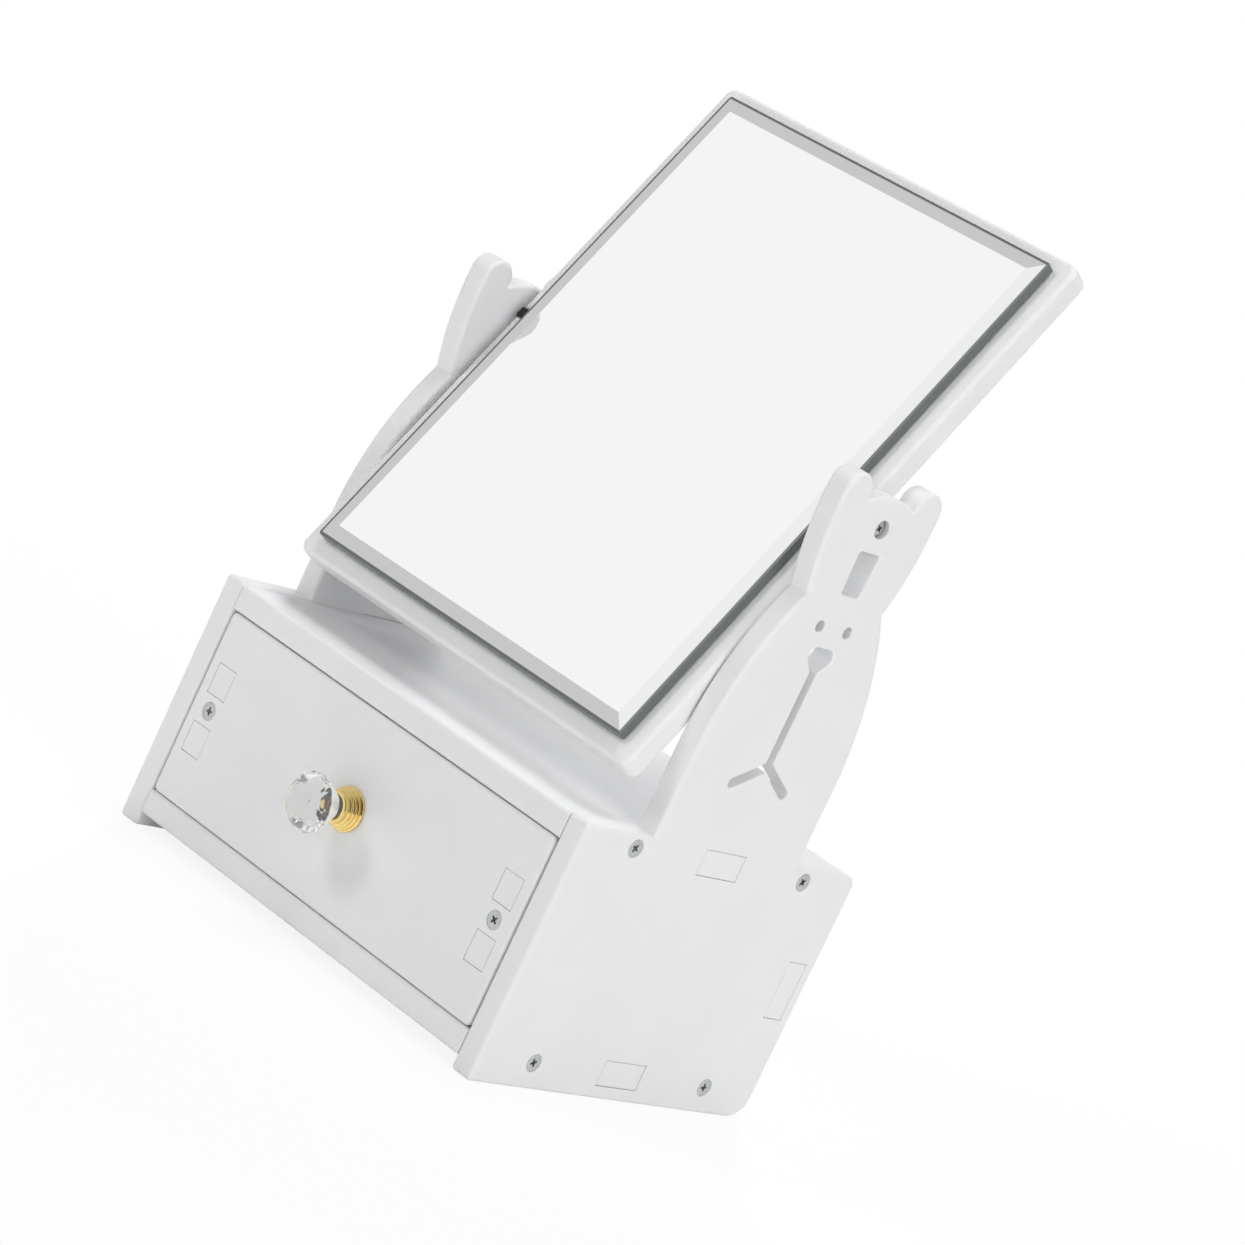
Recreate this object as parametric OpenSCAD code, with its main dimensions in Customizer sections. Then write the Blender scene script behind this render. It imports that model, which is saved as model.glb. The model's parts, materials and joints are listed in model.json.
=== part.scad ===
// Table-top vanity mirror on a one-drawer box, built from flat white boards.
// X runs across the drawer front, Y runs to the back, Z is up.
// The origin is under the middle of the whole object, on the surface it stands on.

/* [Box] */
// Width over the two side panels
case_w = 200; // [160:1:260]
// Depth of the box, front edge to back edge
case_d = 145.6; // [125:0.2:190]
// Height of the box part of the side panels
case_h = 96; // [84:1:140]
// Thickness of the boards
board_t = 9.5; // [8:0.5:11]
// Gap under the bottom panel, which the side panels stand on
foot_h = 5; // [3:0.2:12]
// How far the top panel lies below the side panels' top edge
top_recess = 0.6; // [0:0.1:2]
// How far the back panel is set in from the back edge
back_inset = 4.8; // [3:0.2:8]
// Corner radius at the lower back of a side panel
heel_r = 8.5; // [3:0.5:12]
// Corner radius at the upper back of a side panel
shoulder_r = 4; // [1:0.5:6]
// Corner radius at the front corners of a side panel
front_r = 1.5; // [0.5:0.5:3]

/* [Side panel silhouette] */
// Width of the animal's body where it rises from the box
torso_w = 77.6; // [70:0.2:90]
// Height above the box up to which the body's sides are straight
torso_straight_h = 30; // [20:1:40]
// Height of the neck above the box
neck_h = 93.6; // [90:0.2:97]
// Width of the head at its widest
head_w = 52.2; // [48:0.2:56]
// Height above the box at which the head is widest
head_wide_h = 125; // [122:1:127]
// Radius of the head's flanks
head_r = 100; // [80:1:160]
// Height of the ears' centres above the box
ear_h = 131.9; // [129:0.1:135]
// Radius of the ears
ear_r = 6.6; // [5:0.1:8]
// Depth of the notch beside each ear, below the ears' centres
notch_drop = 1.5; // [0.5:0.1:3]
// Rise of the crown between the notches
crown_rise = 2.7; // [1.5:0.1:4]

/* [Face cut-outs] */
// Height above the box of the slot's top edge
slot_top_h = 112.8; // [111:0.1:114]
// Height of the slot
slot_h = 16.2; // [10:0.2:18]
// Width of the slot at its top
slot_top_w = 11; // [9:0.2:14]
// Width of the slot at its foot
slot_foot_w = 9.6; // [8:0.2:14]
// Corner radius of the slot
slot_r = 1.4; // [0.6:0.1:2.5]
// Height of the eyes above the box
eye_h = 84.2; // [83:0.2:87]
// Distance between the eyes
eye_spacing = 15; // [12:0.5:20]
// Diameter of an eye
eye_d = 4.2; // [3:0.2:5.4]
// Height above the box of the nose's top edge
nose_top_h = 77; // [75:0.5:78]
// Width of the nose
nose_w = 12.6; // [10:0.2:16]
// Slope of the nose's sides
nose_angle = 47; // [44:1:56]
// Corner radius of the nose
nose_r = 3.2; // [1.6:0.2:3.6]
// Width of the line under the nose and of the mouth
line_w = 3.8; // [2.5:0.1:4.6]
// Height above the box at which the mouth parts
mouth_h = 32.4; // [28:0.2:40]
// Reach of the mouth to each side
mouth_reach = 13.9; // [10:0.1:20]
// Drop of the mouth's ends below its middle
mouth_drop = 8.3; // [6:0.1:12]
// Reach of the bend in each arm of the mouth
mouth_bend_reach = 7.5; // [5:0.1:9]
// Drop of that bend below the mouth's middle
mouth_bend_drop = 4.6; // [4.4:0.1:5.6]

/* [Joints of the box] */
// Length of the through tenons on the top and bottom panels
tenon_l = 21; // [16:1:36]
// Height of the through tenons on the back panel
back_tenon_l = 22; // [14:1:30]
// Distance of the side screws from the front and back edges
screw_inset = 27.4; // [20:0.2:30]
// Clearance round a tenon in its mortise
fit_gap = 0.15; // [0.05:0.05:0.3]

/* [Screws] */
// Diameter of a screw's shank
screw_d = 3.4; // [2.5:0.1:4]
// Diameter of a screw's countersunk head
screw_head_d = 6.8; // [5.5:0.1:7.4]
// Length of a screw
screw_l = 24; // [18:1:30]
// How far a screw's head lies below the face
screw_sink = 0.3; // [0.1:0.1:0.8]
// Width of the cross recess in a screw's head
recess_w = 0.9; // [0.6:0.1:1.2]
// Depth of the cross recess
recess_depth = 1.1; // [0.6:0.1:1.4]
// Radial clearance of a shank in its hole
shank_gap = 0.05; // [0.03:0.01:0.1]

/* [Drawer] */
// Gap beside the drawer front
drawer_side_gap = 0.8; // [0.4:0.1:1.5]
// Gap above and below the drawer front
drawer_rail_gap = 0.4; // [0.3:0.1:0.8]
// Corner radius of the drawer front
drawer_corner_r = 2; // [0.5:0.5:4]
// How far the drawer sides are set in from the drawer front's ends
drawer_side_inset = 4.6; // [3.5:0.1:8]
// Gap between the drawer back and the back panel
drawer_back_gap = 5; // [2:0.5:12]
// Height of one drawer tenon, and of the space between the two of a side
drawer_tenon_h = 11.4; // [8:0.2:14]
// Thickness of the drawer bottom
drawer_bottom_t = 5; // [4:0.5:8]
// Height of the drawer bottom above the drawer sides' lower edge
drawer_bottom_lift = 4; // [3:0.5:8]
// Length of the tab at each side of the drawer bottom
drawer_tab_l = 24; // [12:1:40]

/* [Knob] */
// How far the knob lies above the middle of the drawer front
knob_rise = 1.1; // [-5:0.1:5]
// Diameter of the knob's foot on the drawer front
knob_foot_d = 16.4; // [14:0.2:20]
// Thickness of the knob's foot
knob_foot_t = 1.5; // [1:0.1:2]
// Length of the knob's metal base
knob_base_l = 7.5; // [6.5:0.5:10]
// Number of turned rings on the base
knob_rings = 3; // [1:1:4]
// Wall of the base round the crystal's neck
knob_collar_wall = 1.5; // [1:0.1:2]
// Diameter of the crystal at its widest
crystal_d = 21.5; // [18:0.5:25]
// Reach of the knob in front of the drawer
knob_reach = 24.5; // [23:0.5:32]
// Height of the crystal's crown, from its widest place to its flat front
crown_l = 5.6; // [4:0.2:8]
// Length of clear neck between the metal base and the cut back
neck_l = 1.8; // [0.6:0.1:3]
// Diameter of the flat facet at the crystal's front
crystal_table_d = 11; // [8:0.5:13]
// Diameter of the crystal's neck
crystal_neck_d = 9; // [7:0.2:10]
// Depth of the neck's seat in the metal base
crystal_seat = 2; // [1.5:0.1:3]
// Diameter of the screw that holds the knob
knob_screw_d = 4; // [3:0.5:4.5]

/* [Mirror] */
// Thickness of the mirror's board
mirror_t = 10; // [9:0.5:12]
// Gap between the board's edge and a side panel
mirror_side_gap = 0.6; // [0.5:0.1:2]
// Depth of the mirror's axis behind the face of the board
axis_depth = 3.9; // [3.8:0.1:4.6]
// Height of the mirror's axis above the box
pivot_h = 121.6; // [119:0.1:123]
// Clearance between the swinging board and the top panel
swing_gap = 4.2; // [3:0.1:10]
// How far the axis lies above the middle of the board
pivot_rise = 1; // [0:0.1:4]
// Lean of the mirror to the back as it rests
mirror_lean = 27; // [10:1:35]
// Corner radius of the board
mirror_corner_r = 4; // [2:0.5:8]
// Board showing at each side of the glass
glass_side_margin = 7.3; // [4.5:0.1:12]
// Board showing above the glass
glass_top_margin = 5.7; // [4:0.1:12]
// Board showing below the glass
glass_foot_margin = 7.2; // [4:0.1:12]
// Thickness of the glass
glass_t = 4.5; // [3:0.5:5]
// Width of the ground bevel round the glass
bevel_w = 6; // [4:0.5:12]
// Depth of the bevel at the glass's edge
bevel_depth = 1; // [0.6:0.1:2]
// Corner radius of the glass
glass_corner_r = 1; // [0.5:0.5:4]
// Thickness of the adhesive pads behind the glass
pad_t = 0.8; // [0.4:0.1:1.2]
// Width of an adhesive pad
pad_w = 22; // [12:1:30]

/* [Pivots] */
// Diameter of a pivot screw's shank
pivot_d = 4; // [3.5:0.1:5]
// Diameter of a pivot screw's head
pivot_head_d = 6; // [5.6:0.1:7]
// Height of a pivot screw's head
pivot_head_h = 2.2; // [1.6:0.1:2.6]
// Depth of the counterbore that the head lies in
pivot_bore_depth = 3.6; // [3:0.1:3.8]
// Width of the ring left round the head in its counterbore
pivot_head_gap = 0.4; // [0.3:0.1:0.8]
// Length of a pivot screw's shank
pivot_l = 26; // [20:1:34]
// Diameter of the rubber bush round a pivot screw, in the board's edge
pivot_bush_d = 6.6; // [6:0.1:7.2]
// Length of the bush inside the board
pivot_bush_l = 3.4; // [2:0.2:4]
// Width of the bush's key, which shows in the board's face
pivot_key_w = 3.6; // [2.5:0.1:5]

/* [Hidden] */

// Finish of the pieces
board_colour = [0.93, 0.93, 0.94];
steel_colour = [0.62, 0.63, 0.65];
gold_colour = [0.83, 0.62, 0.25];
crystal_colour = [0.85, 0.92, 0.95, 0.6];
glass_colour = [0.78, 0.82, 0.84];
pad_colour = [0.35, 0.35, 0.36];
washer_colour = [0.08, 0.08, 0.08];

// Smoothness of round forms, and the overlap that cutters run past a face
$fn = 64;
arc_fn = 240;
fillet_steps = 6;
past = 1;

// Box
inner_w = case_w - 2 * board_t;
mid_d = case_d / 2;
floor_z = foot_h + board_t;
shelf_z = case_h - top_recess;
ceiling_z = shelf_z - board_t;
bay_h = ceiling_z - floor_z;
bay_mid_z = floor_z + bay_h / 2;
back_y = case_d - back_inset - board_t;

// Head of the side panels
flank_at_ear = head_w / 2 - head_r + sqrt(pow(head_r, 2) - pow(ear_h - head_wide_h, 2));
ear_x = flank_at_ear - ear_r;
notch_x = ear_x - ear_r;
notch_h = ear_h - notch_drop;
notch_slack = 0.05;
crown_r = (pow(notch_x, 2) + pow(crown_rise, 2)) / (2 * crown_rise);

// Curve that draws the body in to the neck, where it ends a hair inside the head
neck_step = 0.2;
neck_x = head_w / 2 - head_r + sqrt(pow(head_r, 2) - pow(head_wide_h - neck_h, 2));
neck_in = torso_w / 2 - neck_x + neck_step;
torso_r = (pow(neck_h - torso_straight_h, 2) + pow(neck_in, 2)) / (2 * neck_in);

// Drawer
drawer_w = inner_w - 2 * drawer_side_gap;
drawer_h = bay_h - 2 * drawer_rail_gap;
drawer_z = floor_z + drawer_rail_gap;
drawer_l = back_y - drawer_back_gap;
drawer_body_w = drawer_w - 2 * drawer_side_inset;
drawer_side_l = drawer_l - 2 * board_t;
knob_z = bay_mid_z + knob_rise;
collar_edge_r = 0.6;
knob_web = 0.8;
girdle_l = 0.8;

// Mirror
pivot_z = case_h + pivot_h;
swing_r = pivot_z - shelf_z - swing_gap;
board_back_y = mirror_t - axis_depth;
mirror_down = sqrt(pow(swing_r, 2) - pow(board_back_y, 2));
mirror_up = mirror_down - 2 * pivot_rise;
mirror_w = inner_w - 2 * mirror_side_gap;
glass_w = mirror_w - 2 * glass_side_margin;
glass_up = mirror_up - glass_top_margin;
glass_down = mirror_down - glass_foot_margin;
glass_back_y = -axis_depth - pad_t;
washer_play = 0.1;

// Place of the box's front edge, so that the origin is under the middle of the whole
mirror_tip_y = mid_d + mirror_up * sin(mirror_lean) + board_back_y * cos(mirror_lean);
front_y = -(max(case_d, mirror_tip_y) - knob_reach) / 2;

function unit(v) = v / norm(v);

// Points of the arc that rounds the corner p between the points a and b
function fillet(a, p, b, r) =
    let (
        u = unit(a - p),
        w = unit(b - p),
        half = acos(u * w) / 2,
        c = p + unit(u + w) * r / sin(half),
        from = p + u * r / tan(half) - c,
        to = p + w * r / tan(half) - c,
        start = atan2(from[1], from[0]),
        turn = (atan2(to[1], to[0]) - start + 540) % 360 - 180
    )
    [for (i = [0:fillet_steps])
        let (k = start + turn * i / fillet_steps)
        c + r * [cos(k), sin(k)]];

module rounded_polygon(points, r) {
    n = len(points);
    polygon([for (i = [0:n - 1]) each fillet(points[(i + n - 1) % n], points[i], points[(i + 1) % n], r)]);
}

// What a square corner loses when it is rounded; the corner is at the origin
module corner_waste(r) {
    difference() {
        translate([-past, -past])
            square(r + past);
        translate([r, r])
            circle(r);
    }
}

// Rectangle from the origin, its corner radii from the lower left anticlockwise
module rounded_rectangle(w, h, radii) {
    difference() {
        square([w, h]);
        corner_waste(radii[0]);
        translate([w, 0])
            rotate(90)
                corner_waste(radii[1]);
        translate([w, h])
            rotate(180)
                corner_waste(radii[2]);
        translate([0, h])
            rotate(270)
                corner_waste(radii[3]);
    }
}

// Pointed oval, w across at the origin, its two sides of radius r
module lens(w, r) {
    intersection() {
        translate([w / 2 - r, 0])
            circle(r, $fn = arc_fn);
        translate([r - w / 2, 0])
            circle(r, $fn = arc_fn);
    }
}

// Line of width w with round ends, which stand a hair proud so that they cross its sides cleanly
module stroke(a, b, w) {
    along = b - a;
    hair = 0.01;
    translate(a)
        rotate(atan2(along[1], along[0]))
            translate([0, hair - w / 2])
                square([norm(along), w - 2 * hair]);
    translate(a)
        circle(w / 2);
    translate(b)
        circle(w / 2);
}

// The animal's outline above the box, on the middle line of the side panel
module torso_outline() {
    translate([-torso_w / 2, -board_t])
        square([torso_w, board_t + torso_straight_h]);
    intersection() {
        translate([0, torso_straight_h])
            lens(torso_w, torso_r);
        translate([-torso_w / 2, torso_straight_h - 0.01])
            square([torso_w, neck_h - torso_straight_h + 0.01]);
    }
}

module head_outline() {
    difference() {
        intersection() {
            translate([0, head_wide_h])
                lens(head_w, head_r);
            translate([-head_w / 2, neck_h - 0.01])
                square([head_w, ear_h - neck_h + 0.01]);
        }
        translate([-notch_x - notch_slack, notch_h])
            square([2 * (notch_x + notch_slack), notch_drop + past]);
    }
    intersection() {
        translate([0, notch_h + crown_rise - crown_r])
            circle(crown_r, $fn = arc_fn);
        translate([-notch_x, notch_h - past])
            square([2 * notch_x, crown_rise + 2 * past]);
    }
    for (side = [-1, 1])
        translate([side * ear_x, ear_h])
            circle(ear_r);
}

module face_outline() {
    rounded_polygon([
        [-slot_foot_w / 2, slot_top_h - slot_h],
        [slot_foot_w / 2, slot_top_h - slot_h],
        [slot_top_w / 2, slot_top_h],
        [-slot_top_w / 2, slot_top_h]
    ], slot_r);
    for (side = [-1, 1])
        translate([side * eye_spacing / 2, eye_h])
            circle(eye_d / 2);
    nose_x = nose_w / 2 - nose_r + nose_r / tan(nose_angle / 2);
    nose_foot_h = nose_top_h - nose_x * tan(nose_angle);
    rounded_polygon([[0, nose_foot_h], [nose_x, nose_top_h], [-nose_x, nose_top_h]], nose_r);
    stroke([0, mouth_h], [0, nose_foot_h + line_w], line_w);
    for (side = [-1, 1]) {
        bend = [side * mouth_bend_reach, mouth_h - mouth_bend_drop];
        stroke([0, mouth_h], bend, line_w);
        stroke(bend, [side * mouth_reach, mouth_h - mouth_drop], line_w);
    }
}

// Moves what is drawn from the box's front edge to its place in the part's frame
module in_box() {
    translate([0, front_y, 0])
        children();
}

// Draws once on the right and once on the left
module both_sides() {
    children();
    mirror([1, 0, 0])
        children();
}

// Turns a vertical axis to point out of the right side panel, or out of the front
module pointing_right() {
    rotate([0, 90, 0])
        children();
}

module pointing_front() {
    rotate([90, 0, 0])
        children();
}

// Countersunk screw whose axis is Z and whose face is at z = 0
module cross_recess(d) {
    for (turn = [0, 90])
        rotate(turn)
            translate([-d * 0.3, -recess_w / 2, -recess_depth])
                cube([d * 0.6, recess_w, recess_depth + past]);
}

module countersunk_screw() {
    head_h = (screw_head_d - screw_d) / 2;
    translate([0, 0, -screw_sink])
        difference() {
            union() {
                translate([0, 0, -head_h])
                    cylinder(h = head_h, d1 = screw_d, d2 = screw_head_d);
                translate([0, 0, -screw_l])
                    cylinder(h = screw_l - head_h + 0.01, d = screw_d);
            }
            cross_recess(screw_head_d);
        }
}

// Hole for that screw: its sink in the face and the bore for its shank
module screw_hole() {
    bore_d = screw_d + 2 * shank_gap;
    head_h = (screw_head_d - screw_d) / 2;
    translate([0, 0, -screw_sink - head_h])
        cylinder(h = head_h, d1 = bore_d, d2 = screw_head_d + 2 * shank_gap);
    translate([0, 0, -screw_sink - 0.01])
        cylinder(h = screw_sink + past, d = screw_head_d + 2 * shank_gap);
    translate([0, 0, -screw_sink - screw_l - shank_gap])
        cylinder(h = screw_l + screw_sink, d = bore_d);
}

// The four places of the screws through the right side panel
module at_side_screws() {
    for (y = [screw_inset, case_d - screw_inset], z = [foot_h + board_t / 2, shelf_z - board_t / 2])
        translate([case_w / 2, y, z])
            pointing_right()
                children();
}

// Right side panel: box side, animal and face in one board
module side_panel() {
    in_box()
        difference() {
            translate([case_w / 2 - board_t, 0, 0])
                rotate([90, 0, 90])
                    linear_extrude(board_t)
                        difference() {
                            union() {
                                rounded_rectangle(case_d, case_h, [front_r, heel_r, shoulder_r, front_r]);
                                translate([mid_d, case_h]) {
                                    torso_outline();
                                    head_outline();
                                }
                            }
                            translate([mid_d, case_h])
                                face_outline();
                        }
            mortise(mid_d, foot_h + board_t / 2, tenon_l, board_t);
            mortise(mid_d, shelf_z - board_t / 2, tenon_l, board_t);
            mortise(back_y + board_t / 2, bay_mid_z, board_t, back_tenon_l);
            at_side_screws()
                screw_hole();
            pivot_hole();
        }
}

// Through slot in the right side panel, centred at y and z, l along Y and h high
module mortise(y, z, l, h) {
    translate([case_w / 2 - board_t - past, y - l / 2 - fit_gap, z - h / 2 - fit_gap])
        cube([board_t + 2 * past, l + 2 * fit_gap, h + 2 * fit_gap]);
}

module pivot_hole() {
    translate([case_w / 2, mid_d, pivot_z])
        pointing_right() {
            translate([0, 0, -board_t - past])
                cylinder(h = board_t + 2 * past, d = pivot_d + 2 * shank_gap);
            translate([0, 0, -pivot_bore_depth])
                cylinder(h = pivot_bore_depth + past, d = pivot_head_d + 2 * pivot_head_gap);
        }
}

module right_side_panel() {
    color(board_colour)
        side_panel();
}

module left_side_panel() {
    color(board_colour)
        mirror([1, 0, 0])
            side_panel();
}

// Panel across the box with a through tenon and two screw bores at each end
module cross_panel(z) {
    in_box()
        difference() {
            union() {
                translate([-inner_w / 2, 0, z])
                    cube([inner_w, case_d, board_t]);
                translate([-case_w / 2, mid_d - tenon_l / 2, z])
                    cube([case_w, tenon_l, board_t]);
            }
            both_sides()
                at_side_screws()
                    screw_hole();
        }
}

module top_panel() {
    color(board_colour)
        cross_panel(ceiling_z);
}

module bottom_panel() {
    color(board_colour)
        cross_panel(foot_h);
}

module back_panel() {
    color(board_colour)
        in_box()
            union() {
                translate([-inner_w / 2, back_y, floor_z])
                    cube([inner_w, board_t, bay_h]);
                translate([-case_w / 2, back_y, bay_mid_z - back_tenon_l / 2])
                    cube([case_w, board_t, back_tenon_l]);
            }
}

module right_panel_screws() {
    color(steel_colour)
        in_box()
            at_side_screws()
                countersunk_screw();
}

module left_panel_screws() {
    color(steel_colour)
        mirror([1, 0, 0])
            in_box()
                at_side_screws()
                    countersunk_screw();
}

// The two tenons at one end of a drawer side, l long from y and grown by a clearance
module drawer_tenons(y, l, gap) {
    for (step = [-1, 1])
        translate([
            drawer_body_w / 2 - board_t - gap,
            y,
            bay_mid_z + step * drawer_tenon_h - drawer_tenon_h / 2 - gap
        ])
            cube([board_t + 2 * gap, l, drawer_tenon_h + 2 * gap]);
}

// The drawer's screws: through the front's face, and through the back's face
module at_front_screws() {
    both_sides()
        translate([drawer_body_w / 2 - board_t / 2, 0, bay_mid_z])
            pointing_front()
                children();
}

module at_back_screws() {
    translate([0, drawer_l, 0])
        mirror([0, 1, 0])
            at_front_screws()
                children();
}

// Board across the drawer, its outer face at y = 0, with the sides' tenons let in
module drawer_end_board() {
    difference() {
        translate([-drawer_w / 2, board_t, drawer_z])
            rotate([90, 0, 0])
                linear_extrude(board_t)
                    rounded_rectangle(drawer_w, drawer_h, [for (i = [0:3]) drawer_corner_r]);
        both_sides()
            drawer_tenons(-past, board_t + 2 * past, fit_gap);
        at_front_screws()
            screw_hole();
    }
}

module drawer_front() {
    color(board_colour)
        in_box()
            difference() {
                drawer_end_board();
                translate([0, -past, knob_z])
                    rotate([-90, 0, 0])
                        cylinder(h = board_t + 2 * past, d = knob_screw_d + 2 * shank_gap);
            }
}

module drawer_back() {
    color(board_colour)
        in_box()
            translate([0, drawer_l, 0])
                mirror([0, 1, 0])
                    drawer_end_board();
}

module drawer_side() {
    in_box()
        difference() {
            union() {
                translate([drawer_body_w / 2 - board_t, board_t, drawer_z])
                    cube([board_t, drawer_side_l, drawer_h]);
                drawer_tenons(0, board_t, 0);
                drawer_tenons(drawer_l - board_t, board_t, 0);
            }
            at_front_screws()
                screw_hole();
            at_back_screws()
                screw_hole();
            translate([
                drawer_body_w / 2 - board_t - past,
                drawer_l / 2 - drawer_tab_l / 2 - fit_gap,
                drawer_z + drawer_bottom_lift - fit_gap
            ])
                cube([board_t + 2 * past, drawer_tab_l + 2 * fit_gap, drawer_bottom_t + 2 * fit_gap]);
        }
}

module drawer_right_side() {
    color(board_colour)
        drawer_side();
}

module drawer_left_side() {
    color(board_colour)
        mirror([1, 0, 0])
            drawer_side();
}

module drawer_bottom() {
    floor_w = drawer_body_w - 2 * board_t;
    color(board_colour)
        in_box()
            translate([0, 0, drawer_z + drawer_bottom_lift]) {
                translate([-floor_w / 2, board_t, 0])
                    cube([floor_w, drawer_side_l, drawer_bottom_t]);
                translate([-drawer_body_w / 2, drawer_l / 2 - drawer_tab_l / 2, 0])
                    cube([drawer_body_w, drawer_tab_l, drawer_bottom_t]);
            }
}

module drawer_front_screws() {
    color(steel_colour)
        in_box()
            at_front_screws()
                countersunk_screw();
}

module drawer_back_screws() {
    color(steel_colour)
        in_box()
            at_back_screws()
                countersunk_screw();
}

// The knob's own axis is Z, with z = 0 on the drawer's face
module at_knob() {
    in_box()
        translate([0, 0, knob_z])
            pointing_front()
                children();
}

// Domed base: a foot, turned rings that shrink to the front and a collar
module knob_base() {
    foot_r = knob_foot_d / 2;
    edge_r = knob_foot_t / 2;
    collar_r = crystal_neck_d / 2 + knob_collar_wall;
    seat_z = knob_base_l - crystal_seat;
    ring_l = (knob_base_l - knob_foot_t) / (knob_rings + 1.5);
    ring_step = (foot_r - collar_r) / (knob_rings + 1);
    collar_z = knob_foot_t + knob_rings * ring_l;
    color(gold_colour)
        at_knob()
            difference() {
                rotate_extrude($fn = 96)
                    union() {
                        square([foot_r - edge_r, knob_foot_t]);
                        translate([foot_r - edge_r, edge_r])
                            circle(edge_r);
                        for (i = [0:knob_rings - 1]) {
                            ring_x = foot_r - (i + 1) * ring_step - ring_l / 2;
                            ring_z = knob_foot_t + i * ring_l;
                            translate([0, ring_z - 0.01])
                                square([ring_x, ring_l + 0.02]);
                            translate([ring_x, ring_z + ring_l / 2])
                                circle(ring_l / 2);
                        }
                        translate([0, collar_z - 0.01])
                            square([collar_r, knob_base_l - collar_z - collar_edge_r + 0.01]);
                        square([collar_r - collar_edge_r, knob_base_l]);
                        translate([collar_r - collar_edge_r, knob_base_l - collar_edge_r])
                            circle(collar_edge_r);
                    }
                translate([0, 0, seat_z])
                    cylinder(h = crystal_seat + past, d = crystal_neck_d + 2 * shank_gap);
                translate([0, 0, -past])
                    cylinder(h = seat_z - knob_web + past, d = knob_screw_d + 2 * shank_gap);
            }
}

// Cut crystal: a flat table, two rows of crown facets, a girdle and a cut back
module knob_crystal() {
    seat_z = knob_base_l - crystal_seat;
    back_z = knob_base_l + neck_l;
    girdle_z = knob_reach - crown_l;
    girdle_r = crystal_d / 2;
    table_r = crystal_table_d / 2;
    shoulder_z = girdle_z + 0.5 * crown_l;
    waist_z = back_z + 0.35 * (girdle_z - back_z);
    waist_r = 0.73 * girdle_r;
    leaf = 0.02;
    color(crystal_colour)
        at_knob()
            union() {
                translate([0, 0, seat_z])
                    cylinder(h = back_z - seat_z + 0.5, d = crystal_neck_d);
                hull() {
                    translate([0, 0, knob_reach - leaf])
                        rotate(22.5)
                            cylinder(h = leaf, r = table_r, $fn = 8);
                    translate([0, 0, shoulder_z])
                        cylinder(h = leaf, r = 0.5 * table_r + 0.6 * girdle_r, $fn = 8);
                    translate([0, 0, girdle_z - girdle_l / 2])
                        cylinder(h = girdle_l, r = girdle_r, $fn = 16);
                    translate([0, 0, waist_z])
                        cylinder(h = leaf, r = waist_r, $fn = 8);
                    translate([0, 0, back_z])
                        cylinder(h = leaf, d = crystal_neck_d + 0.6, $fn = 16);
                }
            }
}

module knob_screw() {
    head_d = 2 * knob_screw_d;
    head_h = 0.6 * knob_screw_d;
    tip_z = knob_base_l - crystal_seat - knob_web - 0.4;
    color(steel_colour)
        at_knob()
            difference() {
                union() {
                    translate([0, 0, -board_t - head_h])
                        cylinder(h = head_h, d = head_d);
                    translate([0, 0, -board_t - 0.01])
                        cylinder(h = board_t + tip_z, d = knob_screw_d);
                }
                translate([0, 0, -board_t - head_h])
                    mirror([0, 0, 1])
                        cross_recess(head_d);
            }
}

// The mirror's own frame: X along its axis, Z up along the board, face to -Y
module in_mirror() {
    in_box()
        translate([0, mid_d, pivot_z])
            rotate([-mirror_lean, 0, 0])
                children();
}

// Rectangle w wide that runs from down below the axis to up above it, h thick from y
module leaf_plate(w, down, up, r, y, h) {
    translate([-w / 2, y + h, -down])
        rotate([90, 0, 0])
            linear_extrude(h)
                rounded_rectangle(w, down + up, [r, r, r, r]);
}

// Round bush along X, l long and grown by a gap, with a key to the board's face
module keyed_bush(l, gap, over) {
    key_w = pivot_key_w + 2 * gap;
    pointing_right()
        cylinder(h = l, d = pivot_bush_d + 2 * gap);
    translate([0, -axis_depth - over, -key_w / 2])
        cube([l, axis_depth + over, key_w]);
}

module mirror_board() {
    color(board_colour)
        in_mirror()
            difference() {
                leaf_plate(mirror_w, mirror_down, mirror_up, mirror_corner_r, -axis_depth, mirror_t);
                both_sides() {
                    translate([case_w / 2 - pivot_bore_depth - pivot_l - shank_gap, 0, 0])
                        pointing_right()
                            cylinder(h = pivot_l, d = pivot_d + 2 * shank_gap);
                    translate([mirror_w / 2 - pivot_bush_l - shank_gap, 0, 0])
                        keyed_bush(pivot_bush_l + past, shank_gap, past);
                }
            }
}

// Wedge that grinds one edge; it runs along Z at x = 0, from the face at y = 0
module bevel_wedge(l) {
    translate([0, 0, -l / 2])
        linear_extrude(l)
            polygon([
                [past, -past],
                [past, bevel_depth * (1 + past / bevel_w)],
                [-bevel_w, 0],
                [-bevel_w, -past]
            ]);
}

module mirror_glass() {
    glass_h = glass_up + glass_down;
    middle_z = (glass_up - glass_down) / 2;
    face_y = glass_back_y - glass_t;
    color(glass_colour)
        in_mirror()
            difference() {
                leaf_plate(glass_w, glass_down, glass_up, glass_corner_r, face_y, glass_t);
                translate([0, face_y, middle_z]) {
                    both_sides()
                        translate([glass_w / 2, 0, 0])
                            bevel_wedge(glass_h + 2 * past);
                    for (turn = [90, -90])
                        rotate([0, turn, 0])
                            translate([glass_h / 2, 0, 0])
                                bevel_wedge(glass_w + 2 * past);
                }
            }
}

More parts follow.
